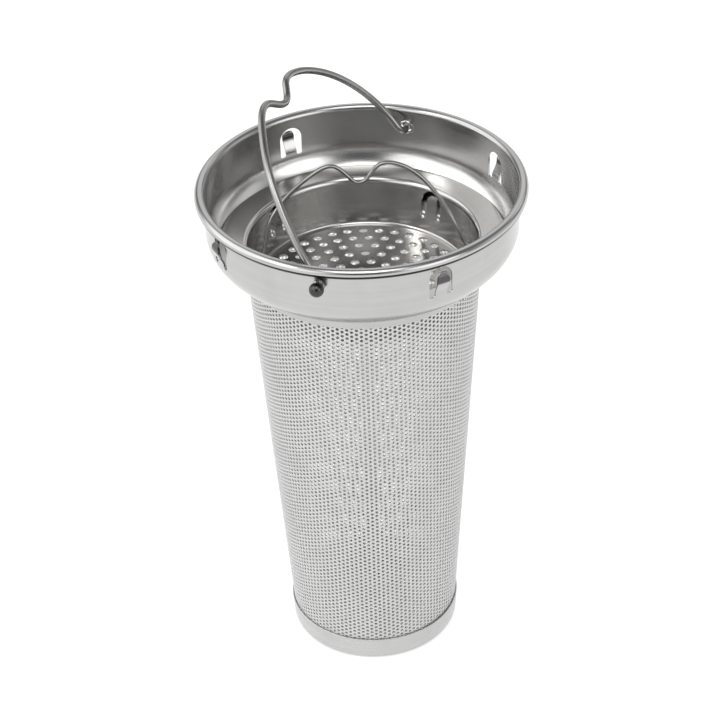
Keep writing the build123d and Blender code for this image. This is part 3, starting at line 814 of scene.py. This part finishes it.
def shade_punched_sheet(mesh, points, hole_of, centres):
    """Normals of the smooth cone on both faces, and of round holes on the holes' walls."""
    angle = np.arctan2(points[:, 1], points[:, 0])
    outward = np.stack([np.cos(angle) * CONE_COS, np.sin(angle) * CONE_COS,
                        np.full(len(angle), -CONE_SIN)], -1)
    corner_vertex = np.empty(len(mesh.loops), np.int32)
    mesh.loops.foreach_get("vertex_index", corner_vertex)
    face_normals = np.empty(len(mesh.polygons) * 3, np.float32)
    mesh.polygons.foreach_get("normal", face_normals)
    flat = np.repeat(face_normals.reshape(-1, 3), 3, 0).astype(float)
    cone = outward[corner_vertex]
    facing = (flat * cone).sum(1)
    outer, inner = facing > 0.9, facing < -0.9
    normals = np.where(outer[:, None], cone, np.where(inner[:, None], -cone, flat))

    wall = np.where(~(outer | inner) & (hole_of[corner_vertex] >= 0))[0]
    vertex = corner_vertex[wall]
    axis = outward[vertex]
    to_centre = centres[hole_of[vertex]] - points[vertex]
    to_centre = to_centre - (to_centre * axis).sum(1)[:, None] * axis
    to_centre /= np.maximum(np.linalg.norm(to_centre, axis=1), 1e-9)[:, None]
    tilt = (flat[wall] * axis).sum(1)[:, None]
    normals[wall] = to_centre * np.sqrt(np.maximum(1 - tilt ** 2, 0)) + axis * tilt
    normals /= np.linalg.norm(normals, axis=1)[:, None]
    mesh.normals_split_custom_set(normals.tolist())


def build_tube():
    """The punched sheet, split into pieces from the top down."""
    across, up = hole_centres()
    pieces = np.array_split(np.arange(len(across)), 5)
    return [punched_sheet(f"mesh_tube_{k + 1}", across[piece], up[piece])
            for k, piece in enumerate(pieces)]


def plain_band(name, top, bottom):
    """Unpunched ring of the tube between two levels, a hair thinner than the sheet."""
    skin, segments = 0.004, 360
    inset = SHEET - skin
    corners = [(tube_radius(z) - depth * CONE_COS, height(z) + depth * CONE_SIN)
               for z, depth in ((top, skin), (bottom, skin), (bottom, inset), (top, inset))]
    section = []
    for k in range(4):
        section += fillet(corners[k - 1], corners[k], corners[(k + 1) % 4], radius=0.06, steps=2)
    points = [(r * math.cos(a), r * math.sin(a), z)
              for a in np.radians(np.linspace(0, 360, segments, endpoint=False))
              for r, z in section]
    faces = grid_faces(segments, len(section), wrap_rows=True, flip=True)
    return make_object(name, points, faces)


def lap_seam():
    """Plain strip down the back, a touch thicker than the sheet, with slightly wavy edges."""
    half, steps, skin = 1.75, 120, 0.003
    points = []
    for i in range(steps + 1):
        z = TUBE_Z0 + (TUBE_Z1 - TUBE_Z0) * i / steps
        outer_r = tube_radius(z)
        wobble = 0.07 * math.sin(i * 1.7) + 0.05 * math.sin(i * 0.63 + 1)
        # distance round the tube, swelling of the sheet
        section = [(-half + wobble, 0.0), (-half + 0.3 + wobble, 0.11), (-0.25, 0.12),
                   (0.0, 0.10), (0.25, 0.12), (half - 0.3 + wobble * 0.6, 0.11),
                   (half + wobble * 0.6, 0.0)]
        ring = [(x, outer_r + swell + skin) for x, swell in section]
        ring += [(x, outer_r - SHEET - swell * 0.6 - skin) for x, swell in section[::-1]]
        for x, radius in ring:
            a = math.pi / 2 + x / outer_r
            points.append((radius * math.cos(a), radius * math.sin(a), height(z)))
    rows, cols = steps + 1, 14
    return make_object("seam", points, grid_faces(rows, cols).tolist() + end_faces(rows, cols))


def build_margins():
    """Everything of the tube that isn't punched."""
    ob = plain_band("tube_margin_top", TUBE_Z0, TUBE_Z0 - 2.2)
    join(ob, [plain_band("tube_margin_low", TUBE_Z1 + 2.4, TUBE_Z1), lap_seam()])
    ob.name = "mesh_tube_margins"
    smooth_by_angle(ob, 40)
    return ob


tube = build_tube()
margins = build_margins()


# ------------------------------------------------------------------ bottom cap
def build_cap():
    """Shallow cup round the foot of the tube, with a field of small holes in its floor."""
    top_r = tube_radius(CAP_Z0) + LAP
    low_r = tube_radius(CAP_Z1 + CAP_CORNER) + LAP
    top_in, top_out = (top_r, height(CAP_Z0)), (top_r + CAP_T, height(CAP_Z0))
    low_in, low_out = (low_r, CAP_CORNER), (low_r + CAP_T, CAP_CORNER)
    corner_r = low_out[0] - CAP_CORNER
    profile = fillet(low_in, top_in, top_out, radius=0.08, steps=2)
    profile += fillet(top_in, top_out, low_out, radius=0.14, steps=3)
    profile += arc(corner_r, CAP_CORNER, CAP_CORNER, 0, -90, 12)
    profile += [(CAP_PLATE_R, 0.0), (CAP_PLATE_R, CAP_T)]
    profile += arc(corner_r, CAP_CORNER, CAP_CORNER - CAP_T, -90, 0, 8)
    ob = lathe("bottom_cap_body", profile[::-1], 360)

    row_pitch = CAP_PITCH * math.sqrt(3) / 2
    reach = int(CAP_FIELD_R / row_pitch) + 2
    holes = []
    for j in range(-reach, reach + 1):
        for i in range(-reach, reach + 1):
            x, y = (i + 0.5 * (j % 2)) * CAP_PITCH, j * row_pitch + row_pitch * 2 / 3
            if math.hypot(x, y) < CAP_FIELD_R - CAP_HOLE / 2:
                holes.append((x, y))
    join(ob, [plate_with_holes(CAP_PLATE_R, 0.0, CAP_T, holes, CAP_HOLE / 2,
                               hole_sides=12, rim_sides=360)])
    smooth_by_angle(ob, 40)
    return ob


cap = build_cap()

# ------------------------------------------------------------------ inner basket
BEND_TOP_R = BEND_UNDER_R + SHEET
CUP_TOP = height(FLANGE_Z) - BEND_TOP_R     # heights where the tapered wall starts and ends
CUP_LOW = height(FLOOR_Z) + CUP_CORNER
CUP_SLOPE = (CUP_RI_TOP - CUP_RI_BOT) / (CUP_TOP - CUP_LOW)


def cup_radius(level):
    """Inner radius of the basket's wall."""
    return CUP_RI_TOP - (CUP_TOP - height(level)) * CUP_SLOPE


def squeezed_bend(points, width, radius):
    """Bend between wall and flange, narrowed to the given width."""
    return [(BEND_R + (x - BEND_R) * (width / radius), y) for x, y in points]


def cup_profile():
    wall_levels = (-29.5, -28.0, -26.5, -25.0, -23.5, -22.0, -20.7)
    corner_r = CUP_RI_BOT - CUP_CORNER
    rim_r, flange = FLANGE_R - FLANGE_EDGE_R, height(FLANGE_Z)
    flange_radii = [BEND_R + (rim_r - BEND_R) * k / 4 for k in range(1, 4)]
    bend_width = BEND_R - CUP_RI_TOP
    top_bend = arc(BEND_R, CUP_TOP, BEND_TOP_R, 180, 90, 16)
    under_bend = arc(BEND_R, CUP_TOP, BEND_UNDER_R, 90, 180, 12)

    profile = [(FLOOR_PLATE_R, height(FLOOR_Z) - SHEET), (FLOOR_PLATE_R, height(FLOOR_Z))]
    profile += arc(corner_r, CUP_LOW, CUP_CORNER, -90, 0, 10)
    profile += [(cup_radius(z), height(z)) for z in wall_levels]
    profile += squeezed_bend(top_bend, bend_width, BEND_TOP_R)
    profile += [(r, flange) for r in flange_radii]
    profile += arc(rim_r, flange - FLANGE_EDGE_R, FLANGE_EDGE_R, 90, -90, 8)
    profile += [(r, flange - SHEET) for r in flange_radii[::-1]]
    profile += squeezed_bend(under_bend, bend_width - SHEET, BEND_UNDER_R)
    profile += [(cup_radius(z) + SHEET, height(z)) for z in wall_levels[::-1]]
    profile += arc(corner_r, CUP_LOW, CUP_CORNER + SHEET, 0, -90, 12)
    return profile


def dish_flange(mesh):
    """Lean the shading of the flange's top towards the axis, as if it were slightly dished."""
    normals = np.empty(len(mesh.loops) * 3, np.float32)
    mesh.corner_normals.foreach_get("vector", normals)
    normals = normals.reshape(-1, 3).astype(float)
    vertex = np.empty(len(mesh.loops), np.int32)
    mesh.loops.foreach_get("vertex_index", vertex)
    points = np.empty(len(mesh.vertices) * 3, np.float32)
    mesh.vertices.foreach_get("co", points)
    x, y, z = (points.reshape(-1, 3)[vertex] / MM).T
    radius = np.hypot(x, y)
    flange = (normals[:, 2] > 0.9) & (np.abs(z - height(FLANGE_Z)) < 0.2)
    flange &= (radius > BEND_R + 0.4) & (radius < FLANGE_R - 0.05)
    stations = (BEND_R + 0.4, BEND_R + 2.0, FLANGE_R - 0.6, FLANGE_R)
    lean = np.radians(np.interp(radius, stations, (0.0, 6.0, 12.0, 4.0)))
    leaning = np.stack([-x / radius * np.sin(lean), -y / radius * np.sin(lean), np.cos(lean)], -1)
    normals[flange] = leaning[flange]
    mesh.normals_split_custom_set(normals.tolist())


def build_basket():
    ob = lathe("inner_basket_body", cup_profile(), 480, 0.375)
    face_outwards(ob)
    cutters = slot_cutters(CUP_TAB_AZ, cup_radius(CUP_TAB_Z) + 0.4, CUP_TAB_Z, reach=2.2)
    for azimuth in (IN_AZ, IN_AZ + 180):
        cutters.append(wall_cutter(azimuth, cup_radius(IN_PIVOT_Z) + 0.3, IN_PIVOT_Z,
                                   circle(IN_HOLE / 2, 28), reach=2.2))
    cut(ob, cutters)

    holes = []
    for radius, count, first in FLOOR_RINGS:
        for k in range(count):
            a = math.radians(first + 360.0 * k / count)
            holes.append((radius * math.cos(a), radius * math.sin(a)))
    floor_z = height(FLOOR_Z)
    plate = plate_with_holes(FLOOR_PLATE_R, floor_z - SHEET, floor_z, holes, FLOOR_HOLE / 2,
                             hole_sides=32, rim_sides=480)
    tongues = [tongue(CUP_TAB_AZ + 90 * k, cup_radius(CUP_TAB_Z), CUP_TAB_Z, CUP_TAB_OUT,
                      wall_slope=CUP_SLOPE) for k in range(4)]
    join(ob, [plate] + tongues)
    smooth_by_angle(ob, 38)
    dish_flange(ob.data)
    return ob


basket = build_basket()


# ------------------------------------------------------------------ bails
def spline_points(knots, step):
    """Natural cubic spline through the knots by chord length, sampled evenly."""
    knots = np.asarray(knots, float)
    at = np.r_[0, np.cumsum(np.hypot(*np.diff(knots, axis=0).T))]
    count = len(knots)
    span = np.diff(at)
    system = np.zeros((count, count))
    target = np.zeros((count, 2))
    system[0, 0] = system[-1, -1] = 1
    for i in range(1, count - 1):
        system[i, i - 1:i + 2] = span[i - 1], 2 * (span[i - 1] + span[i]), span[i]
        target[i] = 6 * ((knots[i + 1] - knots[i]) / span[i]
                         - (knots[i] - knots[i - 1]) / span[i - 1])
    second = np.linalg.solve(system, target)
    s = np.linspace(0, at[-1], int(at[-1] / step) + 1)
    k = np.clip(np.searchsorted(at, s, side="right") - 1, 0, count - 2)
    after, before, width = (at[k + 1] - s)[:, None], (s - at[k])[:, None], span[k][:, None]
    return (second[k] * after ** 3 / (6 * width) + second[k + 1] * before ** 3 / (6 * width)
            + (knots[k] / width - second[k] * width / 6) * after
            + (knots[k + 1] / width - second[k + 1] * width / 6) * before)


def bail_end(tip, bend_start, bend_radius, bend_angle):
    """Centre line from the tip in along the pivot axis and round the bend."""
    line = [(u, 0.0) for u in np.linspace(tip, bend_start, 4)]
    for degrees in np.linspace(0, bend_angle, 6)[1:]:
        a = math.radians(degrees)
        line.append((bend_start - bend_radius * math.sin(a), bend_radius * (1 - math.cos(a))))
    return line


def bail_head(centre, outward, around, radius):
    """Ball on the end of a bail, slightly flattened along the pivot axis."""
    cols, rows = 48, 31
    up = np.array([0, 0, 1.0])
    points = []
    for j in range(rows):
        lat = -math.pi / 2 + math.pi * j / (rows - 1)
        for k in range(cols):
            lon = 2 * math.pi * k / cols
            points.append(centre + radius * (math.sin(lat) * 0.97 * outward
                                             + math.cos(lat) * math.cos(lon) * around
                                             + math.cos(lat) * math.sin(lon) * up))
    return make_object("head", points, grid_faces(rows, cols))


def build_bail(name, azimuth, level, lean, wire_d, tip, ends, arch, offset=0.0, head_d=0.0):
    """Round wire along an arch that leans round its pivot axis; ends are the one towards the
    azimuth and the one opposite."""
    along, around = directions(azimuth)
    lean = math.radians(lean)
    up = np.array([0, 0, 1.0]) * math.cos(lean) + around * math.sin(lean)
    normal = np.cross(along, up)
    origin = np.array([0, 0, height(level)]) - around * offset

    first, last = (bail_end(tip, *end) for end in ends)
    line = spline_points(first + list(arch) + [(-u, v) for u, v in last[::-1]], step=0.25)
    tangent = np.gradient(line, axis=0)
    tangent /= np.linalg.norm(tangent, axis=1)[:, None]

    # the cut ends are rounded over: shift along the wire, share of its radius
    rounding = [(0.02, 0.62), (0.03, 0.80), (0.10, 0.93)]
    rings = [(0, shift, share) for shift, share in rounding]
    rings += [(i, 0.0, 1.0) for i in range(1, len(line) - 1)]
    rings += [(len(line) - 1, -shift, share) for shift, share in rounding[::-1]]
    sides = 28
    points = np.empty((len(rings), sides, 3))
    for row, (i, shift, share) in enumerate(rings):
        u, v = line[i] + tangent[i] * shift
        centre = origin + u * along + v * up
        across = -tangent[i, 1] * along + tangent[i, 0] * up
        for k, a in enumerate(np.linspace(0, 2 * math.pi, sides, endpoint=False)):
            points[row, k] = centre + wire_d / 2 * share * (math.cos(a) * across
                                                            + math.sin(a) * normal)
    faces = grid_faces(len(rings), sides, flip=True).tolist()
    faces += end_faces(len(rings), sides, flip=True)
    ob = make_object(name, points.reshape(-1, 3), faces)
    if head_d:
        join(ob, [bail_head(origin + along * side * tip, along * side, around, head_d / 2)
                  for side in (1, -1)])
    face_outwards(ob, merge=1e-7)
    smooth_by_angle(ob, 50)
    return ob


outer_bail = build_bail(
    "outer_bail_wire", PIVOT_AZ, PIVOT_Z, BAIL_LEAN, BAIL_D, tip=BAIL_END,
    ends=(BAIL_BACK, BAIL_FRONT), arch=BAIL_ARCH, offset=PIVOT_OFF, head_d=BAIL_HEAD_D)
inner_bail = build_bail(
    "inner_bail_wire", IN_AZ, IN_PIVOT_Z, IN_BAIL_LEAN, IN_BAIL_D, tip=IN_BAIL_END,
    ends=(IN_BAIL_RIGHT, IN_BAIL_LEFT), arch=IN_BAIL_ARCH)

# ------------------------------------------------------------------ tie to the frame
PIECES = [
    (collar, COLLAR_STEEL, "strainer", "collar", "collar_steel"),
    (cap, CAP_STEEL, "strainer", "bottom_cap", "cap_steel"),
    (margins, MESH_STEEL, "strainer", "mesh_tube", "mesh_steel"),
    (outer_bail, OUTER_WIRE, "outer_handle", "outer_bail", "bail_wire"),
    (basket, BASKET_STEEL, "basket", "inner_basket", "basket_steel"),
    (inner_bail, INNER_WIRE, "inner_handle", "inner_bail", "inner_wire")]
PIECES += [(piece, MESH_STEEL, "strainer", "mesh_tube", "mesh_steel") for piece in tube]
for piece, material, body, node, slot in PIECES:
    piece.data.materials.clear()
    piece.data.materials.append(material)
    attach(piece, body)
    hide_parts(node)

# ------------------------------------------------------------------ floor
FLOOR_HALF = 6000.0
FLOOR_GLOW, FLOOR_GLOW_PAINTED_SHADOW = 0.84, 0.02
FLOOR_DARK_R, FLOOR_LIT_R = 22.0, 25.4      # the glow fades in between these radii


def floor_material():
    """Pale, glowing floor, with a painted shadow where its glow fades out under the strainer's
    base.
    """
    mat = bpy.data.materials.new("floor_pale")
    nodes = Nodes(mat)
    place = nodes.add("TexCoord").outputs["Object"]
    distance = nodes.add("VectorMath", {0: place}, operation="LENGTH").outputs["Value"]
    surface = nodes.add("BsdfPrincipled", {
        "Base Color": (0.30, 0.30, 0.30, 1), "Roughness": 0.9,
        "Emission Color": (1.0, 1.0, 1.0, 1), "Emission Strength": FLOOR_GLOW})
    # painted shadow: the glow fades out under the base
    glow = nodes.smoothstep(distance, FLOOR_DARK_R * MM, FLOOR_LIT_R * MM,
                            FLOOR_GLOW_PAINTED_SHADOW, FLOOR_GLOW)
    nodes.tree.links.new(glow, surface.inputs["Emission Strength"])
    nodes.add("OutputMaterial", {0: surface.outputs[0]})
    return mat


floor = make_object("floor", [(x * FLOOR_HALF, y * FLOOR_HALF, 0)
                              for x, y in ((-1, -1), (1, -1), (1, 1), (-1, 1))],
                    [(0, 1, 2, 3)], smooth=False)
floor.location.z = -0.0001
floor.data.materials.append(floor_material())

# ------------------------------------------------------------------ world
# soft bright patches: direction, half angle, width of the soft edge (degrees), strength
SOFT_BOXES = [
    ((-0.85, 0.10, 0.50), 20, 20, 1.6), ((0.05, 0.85, 0.60), 16, 16, 0.75),
    ((0.0, -0.43, 0.90), 13, 9, 3.2), ((-0.62, -0.66, 0.42), 12, 12, 1.5),
    ((0.66, -0.62, 0.42), 13, 12, 1.8), ((0.95, 0.15, 0.35), 8, 14, 0.5)]


def build_world():
    """Pale horizon and dark sky with bright patches and one dark one."""
    world = bpy.data.worlds.new("studio")
    bpy.context.scene.world = world
    nodes = Nodes(world)
    view = nodes.add("TexCoord").outputs["Generated"]

    def patch(direction, half, edge, outside, inside):
        aligned = nodes.dot(view, Vector(direction).normalized())
        return nodes.smoothstep(aligned, math.cos(math.radians(half + edge)),
                                math.cos(math.radians(half)), outside, inside)

    up = nodes.add("SeparateXYZ", {0: view}).outputs[2]
    sky = nodes.smoothstep(up, start=0.02, end=0.22, at_start=0.90, at_end=0.22)
    for direction, half, edge, strength in SOFT_BOXES:
        sky = nodes.math("ADD", sky, patch(direction, half, edge, outside=0.0, inside=strength))
    dark = patch((0.0, -0.88, 0.42), half=9, edge=12, outside=1.0, inside=0.25)
    sky = nodes.math("MULTIPLY", sky, dark)
    background = nodes.add("Background", {0: sky, 1: 1.0})
    nodes.add("OutputWorld", {0: background.outputs[0]})


build_world()


# ------------------------------------------------------------------ lights
def area_light(name, location, size, energy):
    """Square light aimed at a point 0.1 m up the axis."""
    light = bpy.data.lights.new(name, "AREA")
    light.shape = "RECTANGLE"
    light.size = light.size_y = size
    light.energy = energy
    ob = bpy.data.objects.new(name, light)
    bpy.context.scene.collection.objects.link(ob)
    ob.location = location
    ob.rotation_mode = "QUATERNION"
    ob.rotation_quaternion = (Vector(location) - Vector((0, 0, 0.1))).to_track_quat("Z", "Y")


area_light("key", location=(-0.75, -0.35, 0.95), size=0.22, energy=1.4)
area_light("back", location=(0.75, 0.75, 0.7), size=0.3, energy=0.3)

# ------------------------------------------------------------------ camera
CAMERA_BACK, CAMERA_ABOVE = 553.6836, 325.7444      # from the axis, above the rim's crown
YAW, PITCH, ROLL = -0.0037, 0.6080, -0.0361         # radians; positive pitch looks down
SENSOR_WIDTH, LENS = 36, 116.705


def build_camera():
    data = bpy.data.cameras.new("camera")
    ob = bpy.data.objects.new("camera", data)
    bpy.context.scene.collection.objects.link(ob)
    forward = Vector((math.sin(YAW) * math.cos(PITCH), math.cos(YAW) * math.cos(PITCH),
                      -math.sin(PITCH)))
    level_right = Vector((math.cos(YAW), -math.sin(YAW), 0))
    level_up = level_right.cross(forward)
    right = level_right * math.cos(ROLL) + level_up * math.sin(ROLL)
    up = level_right * -math.sin(ROLL) + level_up * math.cos(ROLL)
    ob.matrix_world = Matrix((
        (right.x, up.x, -forward.x, 0.0),
        (right.y, up.y, -forward.y, -CAMERA_BACK * MM),
        (right.z, up.z, -forward.z, (TOP + CAMERA_ABOVE) * MM),
        (0, 0, 0, 1)))
    data.sensor_width = SENSOR_WIDTH
    data.lens = LENS
    data.clip_start, data.clip_end = 0.05, 30
    bpy.context.scene.camera = ob


build_camera()
bpy.context.scene.view_settings.view_transform = "Standard"
